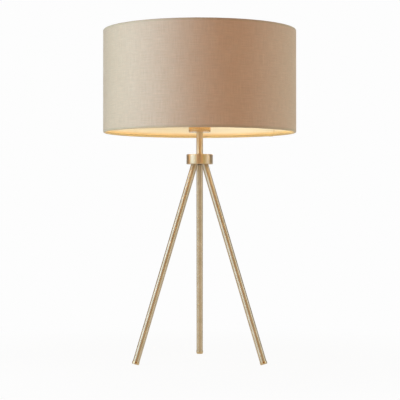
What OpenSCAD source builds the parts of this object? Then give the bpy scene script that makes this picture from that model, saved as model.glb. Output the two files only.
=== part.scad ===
// Tripod table lamp: three splayed tube legs in a turned hub, a short stem, an E27
// lampholder and a wide drum shade that is clamped between two shade rings.
// Millimetres. +Z is up, the origin is on the table under the middle of the hub.

/* [Legs] */
// Height of the hub's underside above the table
hub_z = 357; // [300:1:420]
// Angle between a leg and the vertical
splay = 18.7; // [15:0.1:21]
// Outer diameter of a leg tube
leg_d = 12; // [10:0.5:13]
// Wall of a leg tube
leg_wall = 1.2; // [0.8:0.1:1.5]
// How far a leg tube sits in its socket, along the leg
leg_seat = 2.6; // [2.4:0.1:3]
// Diameter of the stud that holds a leg to the hub
stud_d = 6; // [4:0.5:6]
// Length of that stud inside the hub
stud_in = 5.5; // [4:0.5:6]
// Length of that stud inside the leg
stud_out = 10; // [8:1:14]
// Length of the threaded insert in the top of a leg
insert_len = 16; // [15:1:24]

/* [Feet] */
// Diameter of a foot cap
foot_d = 13; // [12.5:0.1:14]
// Height of the part of a foot cap that shows below the tube
foot_h = 5; // [4:0.5:8]
// Rounding of a foot cap's lower edge
foot_round = 2; // [1:0.1:2.5]
// Depth of the small flat that a foot stands on
foot_flat = 0.5; // [0.3:0.1:0.8]
// Length of a foot cap's plug inside the tube
foot_plug = 12; // [6:1:20]
// Length of the tapered lead-in at the end of that plug
plug_lead = 2; // [1:0.5:3]

/* [Hub] */
// Diameter of the hub
hub_d = 48; // [44:1:60]
// Height of the hub
hub_h = 18; // [16:1:24]
// Rounding of the hub's edges
hub_edge = 0.8; // [0.3:0.1:1.5]
// Diameter of the cable passage through the hub
passage_d = 7.2; // [7:0.1:7.4]
// Bore of the cable bush in the hub's underside
bush_bore = 6; // [4:0.1:6.2]
// Length of the cable bush above its flange
bush_len = 5; // [4:0.5:6]
// Width of the cable bush's flange beyond the passage, all round
bush_lip = 0.7; // [0.5:0.1:1]
// Thickness of the cable bush's flange
bush_flange = 1.2; // [0.8:0.1:2]

/* [Stem] */
// Visible length of the stem between the hub and the lampholder
stem_len = 40.5; // [30:1:80]
// Outer diameter of the stem
stem_d = 12; // [12:0.5:16]
// Diameter of the hollow threaded rod inside the stem
rod_d = 10; // [9.5:0.5:10]
// Bore of the threaded rod
rod_bore = 7.2; // [6:0.1:7.4]
// Length of the rod that is screwed into the hub
rod_in = 7; // [5:0.5:7]
// Width across the flats of the nut in the lampholder cup
nut_flats = 14; // [13:0.5:15]
// Thickness of that nut
nut_h = 3; // [2:0.5:4]
// Diameter of the toothed washer under the nut
washer_d = 18; // [16:0.5:20]
// Thickness of that washer
washer_t = 0.8; // [0.5:0.1:1]
// Number of teeth round that washer
washer_teeth = 12; // [8:1:16]
// Length of the rod that stands above the nut
rod_end = 1.5; // [0.5:0.5:2]

/* [Lampholder] */
// Outer diameter of the lampholder
holder_d = 40; // [39:0.5:41]
// Height of the metal cup that closes the lampholder below
cup_h = 25.5; // [24:1:32]
// Wall of the cup
cup_wall = 1; // [0.6:0.1:1.2]
// Thickness of the cup's floor
cup_floor = 1.5; // [1:0.1:2]
// Rounding of the cup's lower edge
cup_round = 3; // [1.5:0.1:4]
// Height of the threaded barrel above the cup
barrel_h = 28; // [28:1:36]
// Length of the barrel's spigot inside the cup
spigot_h = 8; // [5:0.5:8]
// Wall of that spigot
spigot_wall = 1.2; // [0.8:0.1:1.5]
// Thickness of the barrel's ledge over the insulator
ledge_t = 2; // [1.5:0.1:3]
// Thickness of the insulator's disc
insulator_t = 12; // [8:0.5:12]
// Wall of the insulator's skirt
skirt_wall = 3; // [2:0.1:3.2]
// Wall of the brass screw shell
shell_wall = 0.4; // [0.3:0.1:0.6]
// Height of the screw shell
shell_h = 26; // [20:1:28]
// Height of the centre contact above the insulator
contact_h = 2.5; // [2:0.1:3.5]
// Thickness of the contact strip
strip_t = 0.5; // [0.4:0.1:0.8]
// Width of the contact strip
strip_w = 6; // [4:0.5:7]
// Distance between the axes of the two terminals
terminal_gap = 22.4; // [22:0.1:23]
// Width of a terminal block, across the lampholder's middle
terminal_w = 4.8; // [4.2:0.1:5]
// Length of a terminal block
terminal_l = 6; // [5:0.5:8]
// Height of a terminal block
terminal_h = 4.6; // [3.5:0.1:5]
// Diameter of a terminal screw's thread
screw_d = 2.7; // [2.2:0.1:3]
// Diameter of a terminal screw's head
screw_head_d = 4.4; // [4:0.1:5]
// Height of a terminal screw's head
screw_head_h = 1.5; // [1:0.1:1.6]
// Width of the slot in a terminal screw's head
screw_slot = 0.6; // [0.5:0.1:0.8]
// Diameter of the two wire holes through the insulator
wire_hole_d = 3.6; // [3:0.1:4]
// Distance of a wire hole from the lampholder's axis
wire_hole_r = 9; // [8.5:0.1:9.5]

/* [Shade rings] */
// Height of the lower shade ring
seat_ring_h = 4.35; // [3:0.05:8]
// Outer diameter of the lower shade ring
seat_ring_d = 48; // [46:0.5:52]
// Height of the upper shade ring, which clamps the shade
clamp_ring_h = 8; // [6:0.5:10]
// Outer diameter of the upper shade ring
clamp_ring_d = 52; // [48:0.5:56]
// Number of finger flutes round the upper shade ring
flutes = 24; // [12:2:30]
// Diameter of the cutter that makes a flute
flute_d = 3; // [2:0.1:4]
// Height of the plain lip below the flutes
flute_lip = 1.6; // [1:0.1:3]

/* [Shade] */
// Diameter of the shade
shade_d = 350; // [300:1:400]
// Height of the shade
shade_h = 186; // [170:1:220]
// How far the shade's lower edge lies below its carrier ring
shade_recess = 32; // [24:1:40]
// Thickness of the fabric
fabric_t = 0.5; // [0.4:0.1:0.8]
// Thickness of the stiff liner inside the fabric
liner_t = 0.4; // [0.3:0.1:0.6]
// Diameter of the wire in the shade's upper and lower rings
ring_wire = 3; // [2:0.1:4]
// Width of the liner's overlap at the shade's seam
seam_w = 11; // [6:1:16]
// Direction of the seam, turned from +X towards +Y
seam_az = 32.5; // [10:0.5:70]
// Diameter of the wire of a spider arm
arm_wire = 3; // [2.5:0.1:4]
// Bend radius of a spider arm, at the middle of the wire
arm_bend = 8; // [6:0.5:12]
// Hole of the carrier ring that drops over the lampholder
carrier_hole = 42; // [41.5:0.5:43]
// Outer diameter of the carrier ring
carrier_d = 62; // [58:1:70]
// Thickness of the carrier ring
carrier_t = 1.5; // [1:0.1:2]

/* [Bulb] */
// Largest diameter of the bulb
bulb_d = 60; // [50:1:66]
// Length of the bulb from its contact to its top
bulb_len = 108; // [100:1:116]
// Diameter of the bulb's screw cap
cap_d = 26.2; // [26:0.1:26.4]
// Length of the bulb from its contact to the top of its cap
cap_top = 26; // [25:0.5:27]
// Wall of the screw cap
cap_wall = 0.5; // [0.3:0.1:0.8]
// Wall of the bulb's opal dome
dome_t = 1.2; // [1:0.1:1.6]
// How far the dome's skirt reaches into the bulb's housing
skirt_h = 2.5; // [2:0.5:4]
// How far the housing's collar stands out beyond the screw cap
collar_lip = 0.2; // [0.1:0.05:0.4]
// Height of that collar
collar_h = 1.5; // [1:0.5:3]
// Thickness of the light-emitting plate
led_plate_t = 1.6; // [1:0.1:2]
// Number of light-emitting chips
led_count = 10; // [6:1:16]
// Side of a chip
led_side = 3; // [2:0.5:4]
// Height of a chip
led_t = 0.7; // [0.5:0.1:1]
// Height of the cap's metal rim above the contact's underside
cap_low = 6.5; // [6:0.1:7]
// Radius of the hole in the cap's metal end
cap_hole_r = 10; // [9:0.1:10.5]
// Radius of the contact on the bulb's end
contact_r = 4.4; // [4:0.1:5]
// Thickness of that contact's head
contact_head = 1.55; // [1.2:0.05:1.8]

/* [Hidden] */
$fn = 96;
leg_names = ["leg_left", "leg_right", "leg_rear"];
foot_names = ["foot_left", "foot_right", "foot_rear"];
leg_az = [210, 330, 90];

fit_gap = 0.05;    // round a piece that is pressed or glued into another
thread_gap = 0.1;  // round a screwed or turning piece
face_gap = 0.05;   // between faces that turn on each other
joint_gap = 0.03;  // between faces that are screwed, welded or riveted together
bush_gap = 0.13;   // between the legs and the cable bush's flange
arm_gap = 0.15;    // round a spider arm, where it passes the fabric
shell_gap = 0.3;   // round the bulb's cap
edge = 0.2;        // rounding of a broken edge
soft_edge = 0.5;   // rounding of a moulded or turned edge
cut = 1;           // how far a cutter runs past what it cuts
far = 400;         // larger than the lamp's half width

// Heights from the table up
hub_top = hub_z + hub_h;
cup_z = hub_top + stem_len;
cup_rim = cup_z + cup_h;
insulator_top = cup_rim - ledge_t;
insulator_disc = insulator_top - insulator_t;
barrel_top = cup_rim + barrel_h;
seat_ring_z = cup_rim + 2 * shell_gap;
carrier_z = seat_ring_z + seat_ring_h + face_gap;
clamp_ring_z = carrier_z + carrier_t + face_gap;
shade_z = carrier_z - shade_recess;
shade_top = shade_z + shade_h;
bulb_z = insulator_top + contact_h + face_gap;

// Leg geometry. A leg's axis starts where it crosses the plane of the hub's underside.
bush_flange_r = passage_d / 2 + bush_lip;
leg_top_r = bush_flange_r + bush_gap + leg_d / 2 / cos(splay);
foot_axis_z = (foot_d / 2 - foot_round) * sin(splay) + foot_round - foot_flat;
foot_end = (hub_z - foot_axis_z) / cos(splay) + foot_round;
tube_end = foot_end - foot_h;
leg_bore_r = leg_d / 2 - leg_wall;

// Lampholder radii, worked out from the outside in and from the bulb's cap out
holder_r = holder_d / 2;
spigot_r = holder_r - cup_wall - fit_gap * 2;
insulator_r = spigot_r - spigot_wall - fit_gap * 2;
shell_r = cap_d / 2 + shell_gap;
barrel_bore_r = shell_r + shell_wall + 4 * shell_gap;
ring_bore_r = holder_r + thread_gap;
contact_tail = cap_low / 2;     // the bulb's contact reaches this far into its insulator

// Bulb geometry, from the contact's underside up. The housing's flare is one hollow arc that
// leaves its collar upright and is tangent to the ball of the dome, at the seam between the two.
bulb_r = bulb_d / 2;
neck_r = cap_d / 2 - cap_wall - fit_gap;
collar_r = cap_d / 2 + collar_lip;
collar_z = cap_top + joint_gap;
flare_z = collar_z + collar_h;
ball_z = bulb_len - bulb_r;
flare_rise = ball_z - flare_z;
flare_r = (pow(collar_r, 2) + pow(flare_rise, 2) - pow(bulb_r, 2)) / (2 * (bulb_r - collar_r));
flare_turn = atan2(flare_rise, collar_r + flare_r);
seam_r = bulb_r * cos(flare_turn);
seam_z = ball_z - bulb_r * sin(flare_turn);
skirt_r = seam_r - dome_t;
plate_r = skirt_r - dome_t - thread_gap;
plate_z = seam_z - skirt_h;

// Shade radii
shade_r = shade_d / 2;
hem_r = ring_wire / 2 + fit_gap + fabric_t;
wire_ring_r = shade_r - hem_r;
liner_r = shade_r - fabric_t - fit_gap;
liner_in = liner_r - liner_t;
arm_r = liner_in - liner_t - arm_wire / 2 - fit_gap;
arm_z = carrier_z - arm_wire / 2 - joint_gap;

// ---------------------------------------------------------------- profiles

// Half section of a disc or post with rounded lower and upper edges
module rounded_half(r, h, low, high) {
    translate([0, low]) square([r, h - low - high]);
    square([r - low, h]);
    translate([0, 0]) square([r - high, h]);
    translate([r - low, low]) circle(low);
    translate([r - high, h - high]) circle(high);
}

// Half section of a ring between two radii
module band(r_in, r_out, z, h) {
    translate([r_in, z]) square([r_out - r_in, h]);
}

// Places children on a leg's axis, with local +Z running down the leg
module on_leg(az) {
    rotate([0, 0, az]) translate([leg_top_r, 0, hub_z]) rotate([0, 180 - splay, 0]) children();
}

// ---------------------------------------------------------------- stand

module hub() {
    color("#c2a06c") difference() {
        translate([0, 0, hub_z]) rotate_extrude() rounded_half(hub_d / 2, hub_h, hub_edge, hub_edge);
        translate([0, 0, hub_z - cut]) cylinder(d = passage_d, h = hub_h + cut);
        translate([0, 0, hub_top - rod_in - fit_gap])
            cylinder(r = rod_d / 2 + thread_gap, h = rod_in + cut);
        for (az = leg_az) on_leg(az) {
            translate([0, 0, -leg_seat - fit_gap]) cylinder(r = leg_d / 2 + fit_gap, h = leg_d);
            translate([0, 0, -leg_seat - stud_in - fit_gap])
                cylinder(r = stud_d / 2 + thread_gap, h = stud_in + cut);
        }
    }
}

module leg(az) {
    color("#bfa377") on_leg(az) difference() {
        translate([0, 0, -leg_seat]) cylinder(r = leg_d / 2, h = tube_end + leg_seat);
        translate([0, 0, -leg_seat - cut]) cylinder(r = leg_bore_r, h = tube_end + leg_seat + 2 * cut);
    }
}

// A moulded cap: a rounded end below the tube, a plug inside it, and a small flat to stand on
module foot(az) {
    color("#a98f66") intersection() {
        on_leg(az) {
            translate([0, 0, tube_end]) rotate_extrude()
                rounded_half(foot_d / 2, foot_h, soft_edge, foot_round);
            translate([0, 0, tube_end - foot_plug])
                cylinder(r1 = leg_bore_r - plug_lead / 2, r2 = leg_bore_r - fit_gap, h = plug_lead);
            translate([0, 0, tube_end - foot_plug + plug_lead])
                cylinder(r = leg_bore_r - fit_gap, h = foot_plug);
        }
        translate([-far, -far, 0]) cube([2 * far, 2 * far, hub_z]);
    }
}

module leg_inserts() {
    color("#8f8f8c") for (az = leg_az) on_leg(az) difference() {
        translate([0, 0, -leg_seat]) cylinder(r = leg_bore_r - fit_gap, h = insert_len);
        translate([0, 0, -leg_seat - cut]) cylinder(r = stud_d / 2 + thread_gap, h = insert_len + 2 * cut);
    }
}

module leg_studs() {
    color("#7f7f7c") for (az = leg_az) on_leg(az)
        translate([0, 0, -leg_seat - stud_in]) cylinder(d = stud_d, h = stud_in + stud_out);
}

// Guides the mains lead into the hub
module cable_bush() {
    bush_r = passage_d / 2 - fit_gap;
    color("#2b2a28") translate([0, 0, hub_z]) difference() {
        union() {
            translate([0, 0, -bush_flange]) cylinder(r = bush_flange_r, h = bush_flange);
            translate([0, 0, -bush_flange]) cylinder(r = bush_r, h = bush_flange + bush_len);
        }
        translate([0, 0, -bush_flange - cut])
            cylinder(d = bush_bore, h = bush_flange + bush_len + 2 * cut);
    }
}

module stem_tube() {
    color("#c2a06c") translate([0, 0, hub_top]) difference() {
        cylinder(d = stem_d, h = stem_len);
        translate([0, 0, -cut]) cylinder(r = rod_d / 2 + thread_gap, h = stem_len + 2 * cut);
    }
}

module threaded_rod() {
    rod_z = hub_top - rod_in;
    rod_len = rod_in + stem_len + cup_floor + washer_t + nut_h + rod_end;
    color("#9b9b98") translate([0, 0, rod_z]) difference() {
        cylinder(d = rod_d, h = rod_len);
        translate([0, 0, -cut]) cylinder(d = rod_bore, h = rod_len + 2 * cut);
    }
}

// ---------------------------------------------------------------- lampholder

module lampholder_cup() {
    color("#c2a06c") translate([0, 0, cup_z]) rotate_extrude() difference() {
        rounded_half(holder_r, cup_h, cup_round, edge);
        translate([0, cup_floor]) rounded_half(holder_r - cup_wall, cup_h, cup_round - cup_wall, edge);
        translate([0, -cut]) square([rod_d / 2 + thread_gap, cup_floor + 2 * cut]);
    }
}

module toothed_washer() {
    notch_d = washer_d * PI / washer_teeth / 2;
    color("#8f8f8c") translate([0, 0, cup_z + cup_floor]) difference() {
        cylinder(d = washer_d, h = washer_t);
        translate([0, 0, -cut]) cylinder(r = rod_d / 2 + thread_gap, h = washer_t + 2 * cut);
        for (i = [0 : washer_teeth - 1]) rotate([0, 0, i * 360 / washer_teeth])
            translate([washer_d / 2, 0, -cut]) cylinder(d = notch_d, h = washer_t + 2 * cut);
    }
}

module rod_nut() {
    color("#9b9b98") translate([0, 0, cup_z + cup_floor + washer_t]) difference() {
        cylinder(d = nut_flats / cos(30), h = nut_h, $fn = 6);
        translate([0, 0, -cut]) cylinder(r = rod_d / 2 + thread_gap, h = nut_h + 2 * cut);
    }
}

// A ceramic disc on a skirt, which leaves room below for the nut and the terminals
module insulator() {
    skirt_z = cup_z + cup_floor + fit_gap;
    color("#efeae0") difference() {
        rotate_extrude() {
            band(0, insulator_r, insulator_disc, insulator_t - fit_gap);
            difference() {
                translate([0, skirt_z])
                    rounded_half(insulator_r, insulator_disc - skirt_z + cut, cup_round - cup_wall, edge);
                translate([0, skirt_z - cut])
                    square([insulator_r - skirt_wall, insulator_disc - skirt_z + cut]);
            }
        }
        for (side = [-1, 1]) translate([0, side * wire_hole_r, insulator_disc - cut])
            cylinder(d = wire_hole_d, h = insulator_t + 2 * cut);
    }
}

module at_terminals() {
    for (side = [-1, 1]) translate([side * terminal_gap / 2, 0, 0]) children();
}

module terminals() {
    color("#caa24e") at_terminals() difference() {
        translate([-terminal_w / 2, -terminal_l / 2, insulator_disc - terminal_h - joint_gap])
            cube([terminal_w, terminal_l, terminal_h]);
        translate([0, 0, insulator_disc - terminal_h - cut])
            cylinder(r = screw_d / 2 + thread_gap, h = terminal_h + 2 * cut);
    }
}

module terminal_screws() {
    head_z = insulator_disc - terminal_h - 2 * joint_gap - screw_head_h;
    color("#b9b9b5") at_terminals() difference() {
        union() {
            translate([0, 0, head_z]) cylinder(d = screw_head_d, h = screw_head_h);
            translate([0, 0, head_z]) cylinder(d = screw_d, h = screw_head_h + terminal_h - soft_edge);
        }
        translate([-screw_slot / 2, -screw_head_d, head_z - cut])
            cube([screw_slot, 2 * screw_head_d, cut + screw_head_h / 2]);
    }
}

// Female Edison shell, with a turned-in floor that is riveted to the insulator
module screw_shell() {
    color("#d8b25a") translate([0, 0, insulator_top]) rotate_extrude() {
        band(shell_r, shell_r + shell_wall, 0, shell_h);
        band(shell_r / 2, shell_r + shell_wall, 0, shell_wall);
    }
}

// A sprung brass strip: a foot on the insulator, a slope and a tongue that the bulb presses
module centre_contact() {
    foot_x = -contact_r;
    slope = contact_h / 2;
    rise = contact_h - strip_t;
    color("#d8b25a") translate([0, strip_w / 2, insulator_top]) rotate([90, 0, 0])
        linear_extrude(strip_w) polygon([
            [foot_x, 0], [strip_t, 0], [strip_t + slope, rise], [contact_r, rise],
            [contact_r, contact_h], [slope, contact_h], [0, strip_t], [foot_x, strip_t]]);
}

module lampholder_barrel() {
    color("#2b2a28") rotate_extrude() difference() {
        union() {
            band(0, spigot_r, cup_rim - spigot_h, spigot_h + cut);
            translate([0, cup_rim + joint_gap]) rounded_half(holder_r, barrel_h, edge, soft_edge);
        }
        translate([0, cup_rim - spigot_h - cut])
            square([spigot_r - spigot_wall, spigot_h + cut - ledge_t]);
        translate([0, cup_rim - spigot_h]) square([barrel_bore_r, spigot_h + barrel_h + cut]);
    }
}

module shade_seat_ring() {
    color("#2b2a28") translate([0, 0, seat_ring_z]) rotate_extrude() difference() {
        rounded_half(seat_ring_d / 2, seat_ring_h, soft_edge, edge);
        translate([0, -cut]) square([ring_bore_r, seat_ring_h + 2 * cut]);
    }
}

module shade_clamp_ring() {
    color("#2b2a28") translate([0, 0, clamp_ring_z]) difference() {
        rotate_extrude() difference() {
            rounded_half(clamp_ring_d / 2, clamp_ring_h, edge, 2 * soft_edge);
            translate([0, -cut]) square([ring_bore_r, clamp_ring_h + 2 * cut]);
        }
        for (i = [0 : flutes - 1]) rotate([0, 0, i * 360 / flutes])
            translate([clamp_ring_d / 2 + flute_d / 4, 0, flute_lip])
                cylinder(d = flute_d, h = clamp_ring_h);
    }
}

// ---------------------------------------------------------------- shade

// Fabric tube whose edges are rolled round the wire rings. The spider arms pass through
// notches in the lower roll.
module shade_fabric() {
    color("#b39c82") difference() {
        rotate_extrude() {
            band(shade_r - fabric_t, shade_r, shade_z + hem_r, shade_h - 2 * hem_r);
            for (z = [shade_z + hem_r, shade_top - hem_r]) translate([wire_ring_r, z]) difference() {
                circle(hem_r);
                circle(ring_wire / 2 + fit_gap);
            }
        }
        for (az = leg_az) rotate([0, 0, az]) translate([arm_r, 0, shade_z + hem_r + ring_wire / 4])
            cylinder(r = arm_wire / 2 + arm_gap, h = 2 * hem_r);
    }
}

// Stiff liner inside the fabric, with a doubled strip where its ends overlap
module shade_liner() {
    liner_z = shade_z + 2 * hem_r + fit_gap;
    liner_h = shade_h - 4 * hem_r - 2 * fit_gap;
    seam_angle = seam_w / liner_in * 180 / PI;
    color("#f0d9a4") {
        rotate_extrude() band(liner_in, liner_r, liner_z, liner_h);
        rotate([0, 0, seam_az]) rotate_extrude(angle = seam_angle)
            band(liner_in - liner_t, liner_in + liner_t / 2, liner_z, liner_h);
    }
}

module wire_ring(z) {
    color("#d9d6cf") translate([0, 0, z]) rotate_extrude()
        translate([wire_ring_r, 0]) circle(ring_wire / 2);
}

module top_wire_ring() {
    wire_ring(shade_top - hem_r);
}

module bottom_wire_ring() {
    wire_ring(shade_z + hem_r);
}

// Three wires, each welded under the carrier ring, bent down at the liner and welded to
// the lower wire ring
module spider_arms() {
    inner = seat_ring_d / 2 + 2 * shell_gap;
    bend_x = arm_r - arm_bend;
    low = shade_z + hem_r + ring_wire / 2 + joint_gap;
    color("#d9d6cf") for (az = leg_az) rotate([0, 0, az]) {
        translate([inner, 0, arm_z]) rotate([0, 90, 0]) cylinder(d = arm_wire, h = bend_x - inner);
        translate([bend_x, 0, arm_z - arm_bend]) rotate([90, 0, 0])
            rotate_extrude(angle = 90) translate([arm_bend, 0]) circle(arm_wire / 2);
        translate([arm_r, 0, low]) cylinder(d = arm_wire, h = arm_z - arm_bend - low);
    }
}

module carrier_ring() {
    color("#d9d6cf") translate([0, 0, carrier_z]) rotate_extrude() difference() {
        rounded_half(carrier_d / 2, carrier_t, edge, edge);
        translate([0, -cut]) square([carrier_hole / 2, carrier_t + 2 * cut]);
    }
}

// ---------------------------------------------------------------- bulb

// Points along an arc round [x, z], from one angle to another
function arc_points(x, z, r, from, to, steps) =
    [for (i = [0 : steps]) let (a = from + (to - from) * i / steps) [x + r * cos(a), z + r * sin(a)]];

// The bulb's pieces stand on the height of its contact
module bulb_turned() {
    translate([0, 0, bulb_z]) rotate_extrude() children();
}

// A moulded opal dome, whose skirt fits inside the housing's rim
module bulb_dome() {
    outer = arc_points(0, ball_z, bulb_r, 3 - flare_turn, 86, 18);
    inner = arc_points(0, ball_z, bulb_r - dome_t, 84, 6 - flare_turn, 16);
    color("#fff3dc") bulb_turned()
        polygon(concat([[seam_r, seam_z + joint_gap]], outer,
                       [[0, bulb_len], [0, bulb_len - dome_t]], inner,
                       [[skirt_r - dome_t, seam_z + dome_t],
                        [skirt_r - dome_t, seam_z - skirt_h + thread_gap],
                        [skirt_r, seam_z - skirt_h + thread_gap],
                        [skirt_r, seam_z + joint_gap]]));
}

// The housing is potted: solid round its driver, from the plug in the cap to the plate
module bulb_housing() {
    flare = arc_points(collar_r + flare_r, flare_z, flare_r, 180, 180 - flare_turn, 12);
    color("#ece9e1") bulb_turned()
        polygon(concat([[0, cap_top / 2], [neck_r, cap_top / 2], [neck_r, collar_z],
                        [collar_r, collar_z]], flare,
                       [[skirt_r + fit_gap, seam_z], [skirt_r + fit_gap, plate_z], [0, plate_z]]));
}

// An aluminium plate with a ring of light-emitting chips, screwed down inside the skirt
module led_plate() {
    color("#d8dadb") translate([0, 0, bulb_z + plate_z + joint_gap]) {
        cylinder(r = plate_r, h = led_plate_t);
        for (i = [0 : led_count - 1]) rotate([0, 0, i * 360 / led_count])
            translate([plate_r * 0.6, -led_side / 2, led_plate_t / 2])
                cube([led_side, led_side, led_plate_t / 2 + led_t]);
    }
}

module bulb_cap() {
    color("#c9c6bd") bulb_turned() {
        band(cap_d / 2 - cap_wall, cap_d / 2, cap_low, cap_top - cap_low);
        band(cap_hole_r, cap_d / 2, cap_low - cap_wall, cap_wall);
    }
}

module bulb_cap_insulator() {
    top = cap_low - cap_wall - joint_gap;
    color("#1d1c1b") bulb_turned() difference() {
        polygon([[0, contact_head + fit_gap], [contact_r, contact_head + fit_gap],
                 [cap_hole_r + cap_wall, top], [0, top]]);
        square([contact_r / 2, contact_tail + fit_gap]);
    }
}

module bulb_contact() {
    color("#b9b9b5") bulb_turned() intersection() {
        union() {
            rounded_half(contact_r, contact_head, contact_head / 2, edge / 2);
            square([contact_r / 2 - fit_gap, contact_tail]);
        }
        square([contact_r, contact_tail]);
    }
}

for (i = [0 : len(leg_az) - 1]) {
    leg(leg_az[i]);
    foot(leg_az[i]);
}
hub();
leg_inserts();
leg_studs();
cable_bush();
stem_tube();
threaded_rod();
lampholder_cup();
toothed_washer();
rod_nut();
insulator();
terminals();
terminal_screws();
screw_shell();
centre_contact();
lampholder_barrel();
shade_seat_ring();
shade_clamp_ring();
shade_fabric();
shade_liner();
top_wire_ring();
bottom_wire_ring();
spider_arms();
carrier_ring();
bulb_dome();
bulb_housing();
led_plate();
bulb_cap();
bulb_cap_insulator();
bulb_contact();
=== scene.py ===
"""Table lamp on three splayed brass tubes, with a wide linen drum shade and a lit opal bulb."""

import math

import bmesh
import bpy
import numpy as np
from mathutils import Matrix, Vector


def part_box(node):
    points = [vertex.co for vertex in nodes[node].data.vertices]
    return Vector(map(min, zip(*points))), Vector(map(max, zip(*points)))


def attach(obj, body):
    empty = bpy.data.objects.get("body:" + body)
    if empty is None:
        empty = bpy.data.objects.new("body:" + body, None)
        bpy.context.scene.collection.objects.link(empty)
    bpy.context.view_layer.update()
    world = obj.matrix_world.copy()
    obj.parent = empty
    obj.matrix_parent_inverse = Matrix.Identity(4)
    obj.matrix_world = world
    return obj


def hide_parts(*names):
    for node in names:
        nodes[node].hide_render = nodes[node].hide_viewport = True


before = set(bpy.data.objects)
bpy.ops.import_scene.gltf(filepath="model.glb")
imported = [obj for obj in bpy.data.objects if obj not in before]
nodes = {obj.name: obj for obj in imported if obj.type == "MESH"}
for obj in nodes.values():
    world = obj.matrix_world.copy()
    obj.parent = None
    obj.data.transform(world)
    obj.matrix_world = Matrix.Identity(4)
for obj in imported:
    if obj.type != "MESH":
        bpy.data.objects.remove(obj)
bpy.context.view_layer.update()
scene = bpy.context.scene
MM = 0.001


# ------------------------------------------------------------------ camera
# The lamp was taken square on with a long lens, from two and a half metres and from a little
# below the middle of its height, so that the eye looks up into the shade.
lens = bpy.data.cameras.new("camera")
lens.sensor_width = 36
lens.lens = 124.7
camera = bpy.data.objects.new("camera", lens)
camera.location = (0.0006, -2.516, 0.2718)
camera.rotation_euler = (math.radians(90.465), 0, 0)
scene.collection.objects.link(camera)
scene.camera = camera
scene.view_settings.view_transform = "Standard"


# ------------------------------------------------------------------ studio
# A white sweep, soft boxes on the left, on the right and behind on the right, and an orange fill
# from the front. Powers and colours come from a least-squares fit of one-light trial renders to
# the photograph.
def linear(hex_colour):
    """sRGB hex to linear red, green, blue and alpha."""
    parts = [int(hex_colour[i:i + 2], 16) / 255 for i in (1, 3, 5)]
    return [p / 12.92 if p <= 0.04045 else ((p + 0.055) / 1.055) ** 2.4 for p in parts] + [1.0]


def add(tree, kind, links=None, **settings):
    """Adds a shader node. links gives its inputs, as values or as the sockets that feed them."""
    node = tree.nodes.new(kind)
    for key, value in settings.items():
        setattr(node, key, value)
    for key, value in (links or {}).items():
        if isinstance(value, bpy.types.NodeSocket):
            tree.links.new(value, node.inputs[key])
        else:
            node.inputs[key].default_value = value
    return node


def reckon(tree, operation, *values):
    """The result of one Math node, on values or on the sockets that feed it."""
    return add(tree, "ShaderNodeMath", dict(enumerate(values)), operation=operation).outputs[0]


def on_piece(tree):
    """Where a point lies on its piece, in metres."""
    return add(tree, "ShaderNodeTexCoord").outputs["Object"]


def apart(tree, vector):
    """The three parts of a vector."""
    return list(add(tree, "ShaderNodeSeparateXYZ", {0: vector}).outputs)


def together(tree, x, y, z=0.0):
    """A vector from its three parts."""
    return add(tree, "ShaderNodeCombineXYZ", {0: x, 1: y, 2: z}).outputs[0]


def length(tree, vector):
    """How long a vector is."""
    return add(tree, "ShaderNodeVectorMath", {0: vector}, operation="LENGTH").outputs["Value"]


def facing(place, target):
    """A transform that stands at a place and looks at a target."""
    turn = (Vector(target) - Vector(place)).to_track_quat("-Z", "Y")
    return Matrix.Translation(place) @ turn.to_matrix().to_4x4()


def around(azimuth, distance, height):
    """A place round the lamp. Azimuth 0 is the camera's side and 90 is the lamp's right."""
    turn = math.radians(azimuth)
    return Vector((distance * math.sin(turn), -distance * math.cos(turn), height))


def soft_box(name, azimuth, distance, height, width, tall, watts, colour):
    """An area light that looks at the middle of the lamp. Gloss shows the surround instead."""
    light = bpy.data.lights.new(name, "AREA")
    light.shape = "RECTANGLE"
    light.size = width
    light.size_y = tall
    light.energy = watts
    light.color = linear(colour)[:3]
    box = bpy.data.objects.new(name, light)
    box.matrix_world = facing(around(azimuth, distance, height), (0, 0, lamp_middle))
    box.visible_glossy = False
    scene.collection.objects.link(box)


# Azimuth, distance, height, width and tallness, then watts and colour.
lamp_middle = 0.4
soft_box("key_box", -70, 1.6, 0.5, 1.5, 1.8, 10.4, "#eaffe8")
soft_box("key_strip", -50, 0.55, 0.5, 0.3, 0.8, 2.4, "#dbeffd")
soft_box("right_box", 85, 1.9, 0.55, 1.0, 1.3, 10.0, "#e4fbf2")
soft_box("side_box", 102, 1.7, 0.55, 0.8, 1.3, 6.2, "#e4fbf2")
soft_box("rim_box", 140, 1.6, 0.6, 1.0, 1.8, 3.8, "#fffbee")
soft_box("front_fill", 24, 3.4, 0.9, 2.6, 1.8, 27.5, "#ff9a2c")

# What the bulb and the lit lining send out of the shade's lower opening.
spill_z = 0.43
spill = bpy.data.lights.new("spill", "AREA")
spill.shape = "DISK"
spill.size = 0.30
spill.energy = 0.15
spill.color = linear("#ffc88c")[:3]
opening = bpy.data.objects.new("spill", spill)
opening.location = (0, 0, spill_z)
opening.visible_camera = False
scene.collection.objects.link(opening)

world = bpy.data.worlds.new("studio")
scene.world = world
world.use_nodes = True
world.node_tree.nodes.clear()


def seen_directly(tree):
    """1 for rays from the eye, in gloss or through glass, and 0 for those that light things."""
    rays = add(tree, "ShaderNodeLightPath").outputs
    gloss = reckon(tree, "MAXIMUM", rays["Is Camera Ray"], rays["Is Glossy Ray"])
    return reckon(tree, "MAXIMUM", gloss, rays["Is Transmission Ray"])


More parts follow.
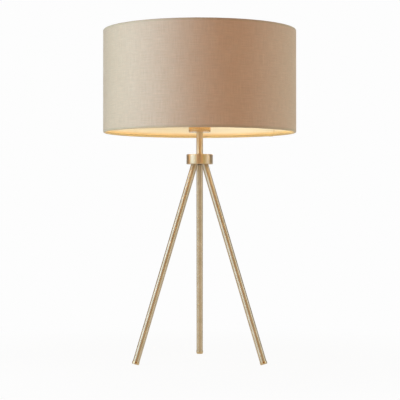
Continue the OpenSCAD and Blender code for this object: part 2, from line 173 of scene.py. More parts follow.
room = world.node_tree
room_light = add(room, "ShaderNodeBackground", {"Color": linear("#ffba86"), "Strength": 0.17})
room_seen = add(room, "ShaderNodeBackground", {"Color": linear("#fdfdfd"), "Strength": 1.0})
room_mix = add(room, "ShaderNodeMixShader",
               {0: seen_directly(room), 1: room_light.outputs[0], 2: room_seen.outputs[0]})
add(room, "ShaderNodeOutputWorld", {"Surface": room_mix.outputs[0]})


def new_object(name, bm, crease=40):
    """Turns a bmesh into an object at the origin, smooth but for edges sharper than the crease."""
    for edge in bm.edges:
        edge.smooth = len(edge.link_faces) != 2 or edge.calc_face_angle() < math.radians(crease)
    for face in bm.faces:
        face.smooth = True
    mesh = bpy.data.meshes.new(name)
    bm.to_mesh(mesh)
    bm.free()
    made = bpy.data.objects.new(name, mesh)
    scene.collection.objects.link(made)
    return made


def blank_material(name):
    """A material with nothing in its node tree yet, and that tree."""
    made = bpy.data.materials.new(name)
    made.use_nodes = True
    made.node_tree.nodes.clear()
    return made, made.node_tree


# The surround is what brushed metal sees of the room: a wide bright box on the left, a narrower
# one on the right, dark gaps between them and a dim, warm room behind the camera. Each stop is
# an azimuth in degrees, a brightness and a colour, from the same fit as the lights, so that the
# bands on the hub and the tubes fall as in the photograph.
SURROUND = [(-180, 0.60, "#ffffff"), (-150, 0.40, "#ffffff"), (-124, 0.15, "#fffefe"),
            (-100, 1.15, "#ffd39c"), (-78, 5.10, "#b4d5ff"), (-56, 5.00, "#b3d3ff"),
            (-38, 2.20, "#ceecff"), (-18, 0.67, "#ff9b61"), (0, 0.12, "#ffbe60"),
            (18, 0.92, "#ffa45a"), (38, 0.71, "#f2ffa1"), (58, 1.15, "#fcfff9"),
            (78, 3.70, "#c1d7ff"), (93, 1.20, "#fdfffb"), (108, 0.06, "#ffffff"),
            (124, 0.30, "#ffffff"), (150, 0.50, "#ffffff"), (180, 0.60, "#ffffff")]
BRIGHTEST = 6.0
surround_r, surround_tall, surround_middle = 5, 6, 1.5
bm = bmesh.new()
bmesh.ops.create_cone(bm, cap_ends=False, segments=96, radius1=surround_r, radius2=surround_r,
                      depth=surround_tall)
bmesh.ops.translate(bm, verts=bm.verts, vec=(0, 0, surround_middle))
surround = new_object("surround", bm)
for ray in ("camera", "diffuse", "transmission", "shadow", "volume_scatter"):
    setattr(surround, "visible_" + ray, False)
room_paint, tree = blank_material("surround")
across, toward, up = apart(tree, on_piece(tree))
azimuth = reckon(tree, "ARCTAN2", across, reckon(tree, "MULTIPLY", toward, -1.0))
turn = add(tree, "ShaderNodeMapRange", {"Value": azimuth, "From Min": -math.pi,
                                        "From Max": math.pi}).outputs[0]
ramp = add(tree, "ShaderNodeValToRGB", {0: turn})
for stop, (angle, level, colour) in enumerate(SURROUND):
    at = (angle + 180) / 360
    if stop < 2:
        spot = ramp.color_ramp.elements[stop]
        spot.position = at
    else:
        spot = ramp.color_ramp.elements.new(at)
    spot.color = [level / BRIGHTEST * c for c in linear(colour)[:3]] + [1]
shine = add(tree, "ShaderNodeEmission", {"Color": ramp.outputs[0], "Strength": BRIGHTEST})
add(tree, "ShaderNodeOutputMaterial", {"Surface": shine.outputs[0]})
surround.data.materials.append(room_paint)


# The sweep is matt white card. Its own shade shows near the lamp and fades to plain white.
sweep_r = 12
bm = bmesh.new()
bmesh.ops.create_circle(bm, cap_ends=True, radius=sweep_r, segments=64)
sweep = new_object("sweep", bm)
white_card, tree = blank_material("matt white card")
far = length(tree, on_piece(tree))
away = add(tree, "ShaderNodeMapRange", {"Value": far, "From Min": 0.15, "From Max": 0.8,
                                        "To Min": 0.965, "To Max": 1.0},
           interpolation_type="SMOOTHSTEP").outputs[0]
paper = add(tree, "ShaderNodeBsdfDiffuse", {"Color": linear("#f2f1ee")})
clean = add(tree, "ShaderNodeEmission", {"Color": linear("#fdfdfd"), "Strength": 1.0})
share = reckon(tree, "MULTIPLY", seen_directly(tree), away)
sheet = add(tree, "ShaderNodeMixShader", {0: share, 1: paper.outputs[0], 2: clean.outputs[0]})
add(tree, "ShaderNodeOutputMaterial", {"Surface": sheet.outputs[0]})
sweep.data.materials.append(white_card)


# ------------------------------------------------------------------ legs, feet, hub and stem
# Three drawn steel tubes, brass plated, belt-brushed round their axis and lacquered. They screw
# into a turned puck of the same finish, on which the short stem stands.
def new_material(name):
    """A material with an empty Principled shader, its node tree and that shader."""
    made, tree = blank_material(name)
    shader = add(tree, "ShaderNodeBsdfPrincipled")
    add(tree, "ShaderNodeOutputMaterial", {"Surface": shader.outputs[0]})
    return made, tree, shader


def wear(node, material):
    """Gives a CAD node its finish."""
    target = nodes[node].data
    target.materials.clear()
    target.materials.append(material)
    target.polygons.foreach_set("material_index", [0] * len(target.polygons))


def feed(tree, shader, name, socket):
    """Leads a pattern into one of the shader's inputs."""
    tree.links.new(socket, shader.inputs[name])


def blend_colours(tree, share, first, second, kind="MIX"):
    """Mixes two colours, given in hex or as sockets, by a share."""
    first, second = (linear(c) if isinstance(c, str) else c for c in (first, second))
    return add(tree, "ShaderNodeMix", {0: share, 6: first, 7: second}, data_type="RGBA",
               blend_type=kind).outputs[2]


def noise(tree, where, size, detail, **more):
    """Uneven patches of about one size, from 0 to 1."""
    return add(tree, "ShaderNodeTexNoise", {"Vector": where, "Scale": 1 / size, "Detail": detail,
                                            **more}).outputs[0]


def spread(tree, value, low, high, start=0.0, end=1.0, **settings):
    """Maps start to end on to low to high."""
    return add(tree, "ShaderNodeMapRange", {"Value": value, "From Min": start, "From Max": end,
                                            "To Min": low, "To Max": high}, **settings).outputs[0]


def emboss(tree, shader, height, strength, depth):
    """Lets a pattern show as relief."""
    bump = add(tree, "ShaderNodeBump", {"Height": height, "Strength": strength, "Distance": depth})
    feed(tree, shader, "Normal", bump.outputs[0])


def tube_axis(node):
    """The middle of a tube and the direction of its axis, from its own points."""
    points = np.array([v.co for v in nodes[node].data.vertices])
    middle = points.mean(axis=0)
    axis = np.linalg.svd(points - middle, full_matrices=False)[2][0]
    return Vector(middle), Vector(axis if axis[2] > 0 else -axis)


def turned_coordinates(tree, middle=Vector((0, 0, 0)), axis=Vector((0, 0, 1))):
    """Radius and height along an axis, for grain that a lathe leaves, and the turned place."""
    turn = Vector((0, 0, 1)).rotation_difference(axis).to_euler()
    local = add(tree, "ShaderNodeMapping", {"Vector": on_piece(tree), "Location": middle,
                                            "Rotation": turn}, vector_type="TEXTURE").outputs[0]
    x, y, z = apart(tree, local)
    return together(tree, length(tree, together(tree, x, y)), z), local


# Satin brass: rings of belt grain under a clear lacquer, drawn 0.6 mm wide because the real ones
# are too fine to show, with the faint cloudiness of a handled plated tube. The rings draw a
# highlight out along the tube, so that the parts near the shade pick up its warm light.
def satin_brass(name, middle=Vector((0, 0, 0)), axis=Vector((0, 0, 1)),
                tones=("#c5ab83", "#bba077"), dullness=0.27):
    """Tones are the clear and the cloudy colour, and dullness is the least roughness."""
    made, tree, shader = new_material(name)
    turned, local = turned_coordinates(tree, middle, axis)
    grain = noise(tree, turned, 0.6 * MM, 3.0, Roughness=0.6)
    cloud = spread(tree, noise(tree, local, 22 * MM, 3.0), 0.0, 1.0, 0.3, 0.7)
    colour = blend_colours(tree, cloud, tones[0], tones[1])
    feed(tree, shader, "Base Color", colour)
    level = spread(tree, grain, dullness, dullness + 0.07)
    feed(tree, shader, "Roughness", reckon(tree, "MULTIPLY_ADD", cloud, 0.04, level))
    emboss(tree, shader, grain, 0.03, 0.004 * MM)
    x, y, z = apart(tree, on_piece(tree))
    upright = abs(axis.z) > 0.999
    pull = together(tree, x, y, 0.02) if upright else together(tree, *axis)
    feed(tree, shader, "Tangent", pull)
    shader.inputs["Metallic"].default_value = 1.0
    shader.inputs["Anisotropic"].default_value = 0.82
    shader.inputs["Coat Weight"].default_value = 0.25
    shader.inputs["Coat Roughness"].default_value = 0.2
    return made


# The legs are a little duller than the turned hub, and the drawn cup is shinier. The legs' tones
# are greyer and the cup's deeper than the hub's: painted shade on the same brass, for the cooler
# light that reaches the legs away from the lampshade and the dimmer light inside it round the cup.
SIDES = ("left", "right", "rear")
for side in SIDES:
    middle, axis = tube_axis("leg_" + side)
    wear("leg_" + side, satin_brass("satin brass, " + side + " leg", middle, axis,
                                    tones=("#c2ac8a", "#b7a17d"), dullness=0.37))
turned_brass = satin_brass("satin brass, turned")
for node in ("hub", "stem_tube"):
    wear(node, turned_brass)
wear("lampholder_cup", satin_brass("satin brass, drawn cup", tones=("#c4a679", "#b69766"),
                                   dullness=0.14))


# The caps on the legs' ends are turned brass too, but polished, so that they glint a little and
# drift between a clear and a hazy tone.
def polished_brass():
    made, tree, shader = new_material("polished brass cap")
    place = on_piece(tree)
    haze = noise(tree, place, 5 * MM, 4.0)
    colour = blend_colours(tree, haze, "#c9b189", "#b09468")
    feed(tree, shader, "Base Color", colour)
    level = spread(tree, haze, 0.10, 0.24)
    feed(tree, shader, "Roughness", level)
    shader.inputs["Metallic"].default_value = 1.0
    return made


caps = polished_brass()
for side in SIDES:
    wear("foot_" + side, caps)


# ------------------------------------------------------------------ fixings inside the stand
# Zinc-plated steel: the hollow rod, its nut and toothed washer, the studs and the inserts. They
# are machined and barrel plated, so they have a dull blue-grey shine.
def plated_steel():
    made, tree, shader = new_material("zinc-plated steel")
    place = on_piece(tree)
    spangle = noise(tree, place, 2.5 * MM, 5.0)
    colour = blend_colours(tree, spangle, "#a9abad", "#cfcfca")
    feed(tree, shader, "Base Color", colour)
    level = spread(tree, spangle, 0.28, 0.48)
    feed(tree, shader, "Roughness", level)
    shader.inputs["Metallic"].default_value = 1.0
    return made


zinc = plated_steel()
for node in ("leg_inserts", "leg_studs", "toothed_washer", "rod_nut", "terminal_screws"):
    wear(node, zinc)


def lathe(outline, columns, closed=True):
    """Spins an outline of radii and heights round the upright axis. One that starts and ends on
    the axis isn't closed."""
    bm = bmesh.new()
    line = [bm.verts.new((r, 0, z)) for r, z in outline]
    pairs = list(zip(line, line[1:])) + ([(line[-1], line[0])] if closed else [])
    edges = [bm.edges.new(pair) for pair in pairs]
    bmesh.ops.spin(bm, geom=line + edges, cent=(0, 0, 0), axis=(0, 0, 1), angle=2 * math.pi,
                   steps=columns, use_merge=True)
    bmesh.ops.remove_doubles(bm, verts=bm.verts, dist=0.002 * MM)
    bmesh.ops.recalc_face_normals(bm, faces=bm.faces)
    return bm


def wall(radius, start, end, step):
    """Points along an upright wall, near enough together to take a thread."""
    rows = math.ceil(abs(end - start) / step)
    return [(radius, start + (end - start) * i / rows) for i in range(rows + 1)]


def roll_thread(bm, low, high, pitch, depth, innermost, steep=1.0, starts_deep=False):
    """Presses a right-hand thread into the walls that lie outside a radius. It fades out over
    half a turn at its ends. With starts_deep it begins at the bottom of its groove instead."""
    for v in bm.verts:
        radius = math.hypot(v.co.x, v.co.y)
        if radius < innermost or not low <= v.co.z <= high:
            continue
        phase = 2 * math.pi * v.co.z / pitch - math.atan2(v.co.y, v.co.x)
        start = min((v.co.z - low) / (pitch / 2), 1)
        end = min((high - v.co.z) / (pitch / 2), 1)
        wave = min(max(0.5 - 0.5 * steep * math.cos(phase), 0), 1)
        groove = wave * start + (1 - start) * starts_deep
        v.co.x *= 1 - depth * groove * end / radius
        v.co.y *= 1 - depth * groove * end / radius


# The hollow rod has a fine metric thread, 1 mm from turn to turn, rolled along its whole length.
rod_low, rod_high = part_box("threaded_rod")
rod_r, rod_bore = rod_high.x, 3.6 * MM
rod_pitch, rod_groove, chamfer = 1.0 * MM, 0.6 * MM, 0.4 * MM
bm = lathe([(rod_bore, rod_low.z), (rod_r - chamfer, rod_low.z)]
           + wall(rod_r, rod_low.z + chamfer, rod_high.z - chamfer, rod_pitch / 6)
           + [(rod_r - chamfer, rod_high.z), (rod_bore, rod_high.z)], 48)
roll_thread(bm, rod_low.z + chamfer / 2, rod_high.z - chamfer / 2, rod_pitch, rod_groove,
            rod_r - 0.1 * MM, steep=1.3)
rod = new_object("hollow_rod", bm)
rod.data.materials.append(zinc)
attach(rod, "stand")
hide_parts("threaded_rod")


# Black phenolic and nylon: moulded parts with a fine moulded skin, slightly glossy on the
# lampholder and the shade rings and matt on the cable bush.
def moulded_plastic(name, colour, rough, grain):
    made, tree, shader = new_material(name)
    place = on_piece(tree)
    skin = noise(tree, place, grain, 3.0)
    flow = noise(tree, place, 14 * MM, 2.0)
    shade = blend_colours(tree, flow, colour, "#3a3835")
    feed(tree, shader, "Base Color", blend_colours(tree, 0.35, colour, shade))
    level = spread(tree, flow, rough - 0.05, rough + 0.07)
    feed(tree, shader, "Roughness", level)
    emboss(tree, shader, skin, 0.15, 0.03 * MM)
    return made


phenolic = moulded_plastic("black phenolic", "#161514", 0.32, 0.6 * MM)
for node in ("shade_seat_ring", "shade_clamp_ring"):
    wear(node, phenolic)
wear("cable_bush", moulded_plastic("black nylon bush", "#1b1a19", 0.5, 0.4 * MM))


# ------------------------------------------------------------------ lampholder works
# A glazed steatite disc carries the screw shell, the terminals and a sprung centre contact, all
# stamped from brass strip and riveted or screwed on. A moulded barrel covers them.
def glazed_steatite():
    made, tree, shader = new_material("glazed steatite")
    place = on_piece(tree)
    pool = noise(tree, place, 6 * MM, 3.0)
    colour = blend_colours(tree, pool, "#e9e4d8", "#f4f1e8")
    feed(tree, shader, "Base Color", colour)
    shader.inputs["Roughness"].default_value = 0.18
    emboss(tree, shader, pool, 0.1, 0.1 * MM)
    return made


def stamped_brass():
    made, tree, shader = new_material("stamped brass strip")
    place = on_piece(tree)
    tarnish = noise(tree, place, 4 * MM, 4.0)
    colour = blend_colours(tree, tarnish, "#dcb566", "#b88a45")
    feed(tree, shader, "Base Color", colour)
    level = spread(tree, tarnish, 0.22, 0.4)
    feed(tree, shader, "Roughness", level)
    shader.inputs["Metallic"].default_value = 1.0
    return made


wear("insulator", glazed_steatite())
contact_metal = stamped_brass()
for node in ("terminals", "centre_contact"):
    wear(node, contact_metal)


# The barrel is moulded with a coarse flat-topped thread, 2.5 mm from turn to turn, which both
# shade rings run on. Its spigot drops into the metal cup.
barrel_low, barrel_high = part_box("lampholder_barrel")
barrel_r = barrel_high.x
spigot_out, spigot_in, barrel_bore = 18.9 * MM, 17.7 * MM, 15 * MM
shoulder = 441.03 * MM
ledge = 439 * MM
lead_in = 0.5 * MM
holder_pitch, holder_groove = 2.5 * MM, 0.9 * MM
plain_start = 1.5 * MM
bm = lathe([(spigot_in, barrel_low.z), (spigot_out, barrel_low.z), (spigot_out, shoulder),
            (barrel_r - 0.2 * MM, shoulder)]
           + wall(barrel_r, shoulder + 0.2 * MM, barrel_high.z - lead_in, holder_pitch / 12)
           + [(barrel_r - lead_in, barrel_high.z), (barrel_bore + lead_in / 2, barrel_high.z),
              (barrel_bore, barrel_high.z - lead_in / 2), (barrel_bore, ledge),
              (spigot_in, ledge)], 96)
roll_thread(bm, shoulder + plain_start, barrel_high.z - lead_in, holder_pitch, holder_groove,
            barrel_r - 0.1 * MM, steep=1.8)
barrel = new_object("threaded_barrel", bm)
barrel.data.materials.append(phenolic)
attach(barrel, "stand")
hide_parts("lampholder_barrel")


# The shell is brass strip rolled with the bulb's round thread, 3.63 mm from turn to turn, and
# turned in at the bottom, where it is riveted down.
shell_low, shell_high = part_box("screw_shell")
shell_out = shell_high.x
strip = 0.4 * MM
lamp_pitch = 3.629 * MM
thread_depth = 0.9 * MM
corner = 0.8 * MM
row = lamp_pitch / 12
rivet_r = 6.85 * MM
plain_mouth = 4.6 * MM
bm = lathe([(rivet_r, shell_low.z), (shell_out - corner, shell_low.z),
            (shell_out - corner / 4, shell_low.z + corner / 4)]
           + wall(shell_out, shell_low.z + corner, shell_high.z, row)
           + wall(shell_out - strip, shell_high.z, shell_low.z + corner, row)
           + [(shell_out - strip - corner / 4, shell_low.z + strip + corner / 8),
              (shell_out - corner, shell_low.z + strip), (rivet_r, shell_low.z + strip)], 96)
roll_thread(bm, shell_low.z + plain_start, shell_high.z - plain_mouth, lamp_pitch, thread_depth,
            13 * MM)
shell = new_object("rolled_screw_shell", bm)
shell.data.materials.append(contact_metal)
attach(shell, "stand")
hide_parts("screw_shell")


# ------------------------------------------------------------------ shade frame
# Two rings and three arms of 3 mm steel wire with a stamped ring in the middle, welded together
# and powder coated white. The stamped ring lies between the lampholder's two plastic rings.
def powder_coat():
    made, tree, shader = new_material("white powder coat")
    place = on_piece(tree)
    peel = noise(tree, place, 1.2 * MM, 2.0)
    dust = noise(tree, place, 30 * MM, 3.0)
    colour = blend_colours(tree, dust, "#ece9e2", "#dcd7cb")
    feed(tree, shader, "Base Color", colour)
    shader.inputs["Roughness"].default_value = 0.42
    emboss(tree, shader, peel, 0.25, 0.04 * MM)
    return made


white_coat = powder_coat()
for node in ("top_wire_ring", "bottom_wire_ring", "spider_arms", "carrier_ring"):
    wear(node, white_coat)


# The arms are welded under the carrier ring and on top of the lower wire. Each weld leaves a low
# lumpy bead on both sides of the arm, which the powder coat rounds off.
ARMS = [math.radians(angle) for angle in (210, 330, 90)]
arms_low, arms_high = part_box("spider_arms")
wire_r = 1.5 * MM
foot_r = arms_high.y - wire_r


def weld_bead(bm, turn, radius, beside, z, size):
    """Adds a bead near an arm. Size is its half extent along the arm, across it and upright."""
    bead = bmesh.ops.create_icosphere(bm, subdivisions=3, radius=1)["verts"]
    for v in bead:
        lump = math.sin(5 * v.co.x + 7 * turn + 900 * beside) * math.sin(4 * v.co.y + 3 * turn)
        v.co = Vector((v.co.x * size[0], v.co.y * size[1], v.co.z * size[2])) * (1 + 0.10 * lump)
    bmesh.ops.translate(bm, verts=bead, vec=(radius, beside, z))
    bmesh.ops.rotate(bm, verts=bead, cent=(0, 0, 0), matrix=Matrix.Rotation(turn, 3, "Z"))


carrier_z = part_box("carrier_ring")[0].z
carrier_weld_r, beside_arm = 28.2 * MM, 1.15 * MM
bm = bmesh.new()
for turn in ARMS:
    for side in (-1, 1):
        weld_bead(bm, turn, carrier_weld_r, side * beside_arm, carrier_z - 0.35 * MM,
                  (2.1 * MM, 1.0 * MM, 0.8 * MM))
    weld_bead(bm, turn, foot_r, 0, arms_low.z + 0.1 * MM, (1.65 * MM, 2.3 * MM, 0.8 * MM))
beads = new_object("weld_beads", bm)
beads.data.materials.append(white_coat)
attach(beads, "shade")


# ------------------------------------------------------------------ lining
# Cream laminate that stiffens the cloth, bent into the drum and glued to itself in a lap. It has
# a slight paper tooth and is painted a deeper gold over its last 7 mm at both rims, as painted
# shade. The lap's edge has a painted shadow line.
LINER_LAP = math.radians(36.1)


def lining_film():
    made, tree, shader = new_material("cream laminate lining")
    place = on_piece(tree)
    low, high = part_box("shade_liner")
    x, y, z = apart(tree, place)
    # Painted shade: a deeper gold over the lining's last 7 mm at both rims (the tucked mask).
    rim_shade_ramps = [spread(tree, z, 1.0, 0.0, edge, inner, interpolation_type="SMOOTHSTEP")
              for edge, inner in ((low.z, low.z + 7 * MM), (high.z, high.z - 7 * MM))]
    tucked = reckon(tree, "MAXIMUM", *rim_shade_ramps)
    # Painted shadow: a dark line along the lap's edge, on the side of the drum where the lap lies.
    off_lap = reckon(tree, "MULTIPLY", x, -math.sin(LINER_LAP))
    off_lap = reckon(tree, "MULTIPLY_ADD", y, math.cos(LINER_LAP), off_lap)
    line = spread(tree, reckon(tree, "ABSOLUTE", off_lap), 1.0, 0.0, 0.5 * MM, 1.1 * MM)
    this_side = reckon(tree, "GREATER_THAN", x, 0.0)
    lap_shadow = reckon(tree, "MULTIPLY", line, this_side)
    tooth = noise(tree, place, 0.8 * MM, 3.0)
    cloud = noise(tree, place, 40 * MM, 2.0)
    colour = blend_colours(tree, cloud, "#f8f1e2", "#f3e9d4")
    rim_shade_colour = blend_colours(tree, tucked, "#ffffff", "#fbe6b8")
    colour = blend_colours(tree, 1.0, colour, rim_shade_colour, "MULTIPLY")
    feed(tree, shader, "Base Color", blend_colours(tree, lap_shadow, colour, "#d8b87c"))
    shader.inputs["Roughness"].default_value = 0.5
    emboss(tree, shader, tooth, 0.15, 0.05 * MM)
    return made


wear("shade_liner", lining_film())


# ------------------------------------------------------------------ shade fabric
# Plain-woven linen-look cloth, glued to the stiff lining and rolled round both wire rings. Its
# ends lap at the back of the shade, where the upper layer is folded under.
shade_low, shade_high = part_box("shade_fabric")
shade_r = shade_high.x
wire_low, wire_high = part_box("bottom_wire_ring")
CLOTH_T = 0.4 * MM
GLUE = 0.15 * MM
hem_r = (wire_high.z - wire_low.z) / 2 + GLUE + CLOTH_T
hem_x = shade_r - hem_r
LAP_EDGE = math.radians(41)
LAP_WIDTH = 12 * MM
LAP_RISE = 0.45 * MM
PUCKER = 0.07 * MM
COLUMNS, ROWS, ROLL_ROWS = 480, 36, 14
TUCK = 235


def hem_arc(z, start, end, steps):
    """Points round a wire ring, from the wall to where the cloth is tucked away."""
    turns = [math.radians(start + (end - start) * i / steps) for i in range(steps + 1)]
    return [(hem_x + hem_r * math.cos(t), z + hem_r * math.sin(t)) for t in turns]


def drum_cloth():
    low = shade_low.z + hem_r
    high = shade_high.z - hem_r
    side = [(shade_r, low + (high - low) * i / ROWS) for i in range(1, ROWS)]
    outline = hem_arc(low, -TUCK, 0, ROLL_ROWS) + side + hem_arc(high, 0, TUCK, ROLL_ROWS)
    bm = bmesh.new()
    line = [bm.verts.new((r, 0, z)) for r, z in outline]
    edges = [bm.edges.new(pair) for pair in zip(line, line[1:])]
    bmesh.ops.spin(bm, geom=line + edges, cent=(0, 0, 0), axis=(0, 0, 1), angle=2 * math.pi,
                   steps=COLUMNS, use_merge=True)
    bmesh.ops.recalc_face_normals(bm, faces=bm.faces)
    return bm


bm = drum_cloth()
lap_angle = LAP_WIDTH / shade_r
shade_middle = (shade_low.z + shade_high.z) / 2
column_angle = 2 * math.pi / COLUMNS
for v in bm.verts:
    turn = math.atan2(v.co.y, v.co.x) % (2 * math.pi)
    out = Vector((math.cos(turn), math.sin(turn), 0))
    inside = min(max((lap_angle - turn) / column_angle, 0), 1)
    pucker = math.sin(turn * 97) * math.sin(turn * 61 + 1)
    near_hem = max(0, 1 - (min(v.co.z - shade_low.z, shade_high.z - v.co.z)) / (6 * MM))
    rise = LAP_RISE * inside + PUCKER * pucker * near_hem
    away = Vector((v.co.x, v.co.y, 0)) - out * hem_x
    if v.co.z < shade_low.z + 2 * hem_r or v.co.z > shade_high.z - 2 * hem_r:
        middle_z = shade_low.z + hem_r if v.co.z < shade_middle else shade_high.z - hem_r
        push = Vector((away.x, away.y, v.co.z - middle_z)).normalized()
    else:
        push = out
    v.co += push * rise
uv = bm.loops.layers.uv.new("cloth")
for face in bm.faces:
    turns = [math.atan2(l.vert.co.y, l.vert.co.x) % (2 * math.pi) for l in face.loops]
    wraps = max(turns) - min(turns) > math.pi
    for loop, turn in zip(face.loops, turns):
        along = turn + 2 * math.pi if wraps and turn < math.pi else turn
        loop[uv].uv = (along * shade_r, loop.vert.co.z)
to_the_back = Matrix.Rotation(LAP_EDGE - lap_angle, 3, "Z")
bmesh.ops.rotate(bm, verts=bm.verts, cent=(0, 0, 0), matrix=to_the_back)
# The roll is snipped where the three arms stand on the lower wire.
SNIP = 2.6 * MM
snip_z = wire_high.z - 1.2 * MM
snipped = []
for face in bm.faces:
    middle = face.calc_center_median()
    turn = math.atan2(middle.y, middle.x) % (2 * math.pi)
    beside = min(abs(turn - arm) for arm in ARMS) * shade_r
    tucked_in = math.hypot(middle.x, middle.y) < hem_x and snip_z < middle.z < shade_middle
    if beside < SNIP and tucked_in:
        snipped.append(face)
bmesh.ops.delete(bm, geom=snipped, context="FACES")
cloth = new_object("drum_cloth", bm)
thickness = cloth.modifiers.new("thickness", "SOLIDIFY")
thickness.thickness = CLOTH_T
thickness.offset = -1
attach(cloth, "shade")
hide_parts("shade_fabric")


# Linen-look cloth: plain weave with yarns 0.7 mm apart, drawn a little coarse so that it shows,
# thick and thin places along both yarns, and a soft, dry sheen. The hollows between yarns are
# painted darker and the hems a little greyer, as painted shade. A faint orange emission, painted
# light, stands for the bulb's light coming through the cloth, but not through the hems. The inside
# of each turned-in hem is painted light gold, as painted light from the bulb falling on it.
def linen():
    made, tree, shader = new_material("taupe linen-look cloth")
    flat = add(tree, "ShaderNodeUVMap", uv_map="cloth").outputs[0]
    yarn_pitch = 0.7 * MM
    waves = [reckon(tree, "SINE", reckon(tree, "MULTIPLY", way, math.pi / yarn_pitch))
             for way in apart(tree, flat)[:2]]
    over = reckon(tree, "MULTIPLY", *waves)
    heights = []
    for wave, sign in ((waves[0], 0.5), (waves[1], -0.5)):
        lift = reckon(tree, "MULTIPLY_ADD", over, sign, 0.5)
        heights.append(reckon(tree, "MULTIPLY", reckon(tree, "ABSOLUTE", wave), lift))
    weave = reckon(tree, "MAXIMUM", *heights)
    slubs = []
    for along, up in ((0.9 * MM, 26 * MM), (30 * MM, 0.9 * MM)):
        scale = (1 / along, 1 / up, 1)
        run = add(tree, "ShaderNodeMapping", {"Vector": flat, "Scale": scale}).outputs[0]
        slubs.append(noise(tree, run, 1, 4.0, Roughness=0.6))
    slub = reckon(tree, "ADD", *slubs)
    streak = spread(tree, slub, 0.0, 1.0, 0.75, 1.25)
    yarn = blend_colours(tree, streak, "#b1a592", "#c3b8a5")
    mottle = spread(tree, noise(tree, flat, 6 * MM, 3.0), 0.94, 1.04)
    # Painted shade: the hollows between yarns are coloured darker.
    weave_shade = spread(tree, weave, 0.86, 1.03, 0.0, 0.8)
    depth = reckon(tree, "MULTIPLY", mottle, weave_shade)
    mottle_and_weave_shade = together(tree, depth, depth, depth)
    colour = blend_colours(tree, 1.0, yarn, mottle_and_weave_shade, "MULTIPLY")

    x, y, z = apart(tree, on_piece(tree))
    from_middle = reckon(tree, "ABSOLUTE", reckon(tree, "SUBTRACT", z, shade_middle))
    half = (shade_high.z - shade_low.z) / 2
    # Painted shade: the hems, where no light comes through, are coloured a little greyer.
    body = spread(tree, from_middle, 1.0, 0.0, half - 5 * MM, half - 3 * MM,
                  interpolation_type="SMOOTHSTEP")
    hem = blend_colours(tree, body, "#fbf9f4", "#ffffff")
    colour = blend_colours(tree, 1.0, colour, hem, "MULTIPLY")
    radius = length(tree, together(tree, x, y))
    # Painted light: the inside of each turned-in hem is coloured light gold, for the bulb's warm
    # light.
    lit_inner_hem = spread(tree, radius, 1.0, 0.0, hem_x - 0.3 * MM, hem_x + 0.5 * MM)
    feed(tree, shader, "Base Color", blend_colours(tree, lit_inner_hem, colour, "#d8bf88"))

    # Painted light: a faint orange emission on the cloth for the bulb's light coming through it.
    scale = (1 / (14 * MM), 1 / (3 * MM), 1)
    thin = add(tree, "ShaderNodeMapping", {"Vector": flat, "Scale": scale}).outputs[0]
    glow = spread(tree, noise(tree, thin, 1, 4.0), 0.029, 0.063, 0.3, 0.7)
    feed(tree, shader, "Emission Strength", reckon(tree, "MULTIPLY", glow, body))
    shader.inputs["Emission Color"].default_value = linear("#ff8847")
    emboss(tree, shader, reckon(tree, "MULTIPLY_ADD", slub, 0.5, weave), 0.45, 0.12 * MM)
    shader.inputs["Roughness"].default_value = 0.62
    shader.inputs["Sheen Weight"].default_value = 0.25
    shader.inputs["Sheen Roughness"].default_value = 0.45
    return made


cloth.data.materials.append(linen())


# ------------------------------------------------------------------ bulb
# A standard screw bulb, lit: an opal dome snapped into a white moulded housing, with a plate of
# chips inside. The dome glows brightest at its top, dimmer and a little yellower down by the
# housing.
def opal_dome():
    made, tree, shader = new_material("lit opal dome")
    low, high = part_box("bulb_dome")
    place = on_piece(tree)
    lit = spread(tree, apart(tree, place)[2], 0.55, 1.0, low.z, high.z - 20 * MM,
                 interpolation_type="SMOOTHSTEP")
    colour = blend_colours(tree, lit, "#ffd594", "#fff0c8")
    feed(tree, shader, "Emission Color", colour)
    feed(tree, shader, "Emission Strength", reckon(tree, "MULTIPLY", lit, 0.62))
    frost = noise(tree, place, 1.5 * MM, 2.0)
    feed(tree, shader, "Base Color", blend_colours(tree, frost, "#d9d2c4", "#cfc7b8"))
    shader.inputs["Roughness"].default_value = 0.4
    return made


def moulded_white():
    made, tree, shader = new_material("white moulded housing")
    place = on_piece(tree)
    skin = noise(tree, place, 0.7 * MM, 3.0)
    warm = noise(tree, place, 18 * MM, 2.0)
    colour = blend_colours(tree, warm, "#eeebe4", "#e2ddd2")
    feed(tree, shader, "Base Color", colour)
    shader.inputs["Roughness"].default_value = 0.35
    emboss(tree, shader, skin, 0.12, 0.03 * MM)
    return made


wear("bulb_dome", opal_dome())
wear("led_plate", white_coat)

# The light itself comes from inside the dome, which lets all of it through. It doesn't climb with
# the bulb when that is unscrewed.
dome_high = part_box("bulb_dome")[1]
glow = bpy.data.lights.new("bulb_light", "POINT")
glow.energy = 0.92
glow.color = linear("#fff6d2")[:3]
glow.shadow_soft_size = dome_high.x - 1.5 * MM
glow_place = bpy.data.objects.new("bulb_light", glow)
glow_place.location = (0, 0, dome_high.z - dome_high.x)
scene.collection.objects.link(glow_place)
nodes["bulb_dome"].visible_shadow = False


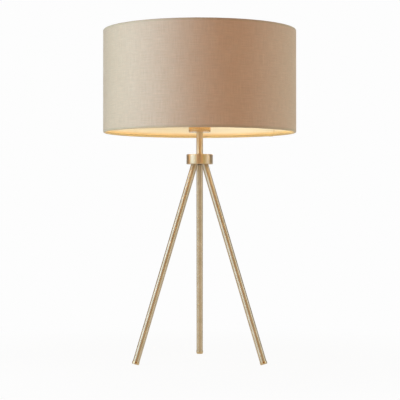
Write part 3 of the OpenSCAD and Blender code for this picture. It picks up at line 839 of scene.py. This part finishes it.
# The housing flares from its collar to the rim that holds the dome. Its neck has the cap's
# thread, because the cap is crimped on to it.
housing_low, housing_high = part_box("bulb_housing")
cap_low, cap_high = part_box("bulb_cap")
bulb_r, cap_r = dome_high.x, cap_high.x
sheet_t = 0.5 * MM
neck_r = cap_r - sheet_t - 0.05 * MM
collar_r = cap_r + 0.2 * MM
collar_z = cap_high.z + 0.03 * MM
flare_z = collar_z + 1.5 * MM
rise = dome_high.z - bulb_r - flare_z
flare_r = (collar_r ** 2 + rise ** 2 - bulb_r ** 2) / (2 * (bulb_r - collar_r))
flare_turn = math.atan2(rise, collar_r + flare_r)
flare = [(collar_r + flare_r - flare_r * math.cos(flare_turn * i / 24),
          flare_z + flare_r * math.sin(flare_turn * i / 24)) for i in range(25)]
rim_in = flare[-1][0] - 1.15 * MM
plate_seat = housing_high.z - 2.5 * MM
plain_top = 4.3 * MM
bm = lathe([(0, housing_low.z), (neck_r - thread_depth, housing_low.z)]
           + wall(neck_r, housing_low.z + 0.1 * MM, collar_z, row)
           + [(collar_r - 0.2 * MM, collar_z), (collar_r, collar_z + 0.2 * MM)] + flare
           + [(rim_in, housing_high.z), (rim_in, plate_seat), (0, plate_seat)], 96, closed=False)
roll_thread(bm, housing_low.z + 0.1 * MM, cap_high.z - plain_top, lamp_pitch, thread_depth,
            neck_r - 0.2 * MM, starts_deep=True)
housing = new_object("flared_housing", bm)
housing.data.materials.append(moulded_white())
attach(housing, "bulb")
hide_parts("bulb_housing")


# The cap is drawn aluminium with a rolled screw thread, a black insulator and a solder pip.
def drawn_aluminium():
    made, tree, shader = new_material("drawn aluminium")
    place = on_piece(tree)
    drag = add(tree, "ShaderNodeMapping", {"Vector": place, "Scale": (1, 1, 12)}).outputs[0]
    lines = noise(tree, drag, 6 * MM, 4.0)
    colour = blend_colours(tree, lines, "#c9c9c6", "#e0dfdb")
    feed(tree, shader, "Base Color", colour)
    level = spread(tree, lines, 0.22, 0.4)
    feed(tree, shader, "Roughness", level)
    shader.inputs["Metallic"].default_value = 1.0
    return made


floor_z = cap_low.z + sheet_t
turn_in, cap_hole = 0.75 * MM, 10 * MM
bm = lathe([(cap_hole, cap_low.z), (cap_r - thread_depth - turn_in, cap_low.z),
            (cap_r - thread_depth - turn_in / 4, cap_low.z + turn_in / 4)]
           + wall(cap_r, cap_low.z + turn_in, cap_high.z, row)
           + wall(cap_r - sheet_t, cap_high.z, cap_low.z + turn_in, row)
           + [(cap_r - thread_depth - sheet_t - turn_in / 4, floor_z + turn_in / 8),
              (cap_r - thread_depth - turn_in, floor_z), (cap_hole, floor_z)], 96)
roll_thread(bm, cap_low.z + turn_in, cap_high.z - plain_top, lamp_pitch, thread_depth,
            cap_r - sheet_t - 0.1 * MM, starts_deep=True)
cap = new_object("rolled_screw_cap", bm)
cap.data.materials.append(drawn_aluminium())
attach(cap, "bulb")
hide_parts("bulb_cap")
wear("bulb_cap_insulator", moulded_plastic("black cap insulator", "#18151c", 0.15, 1.0 * MM))
wear("bulb_contact", zinc)
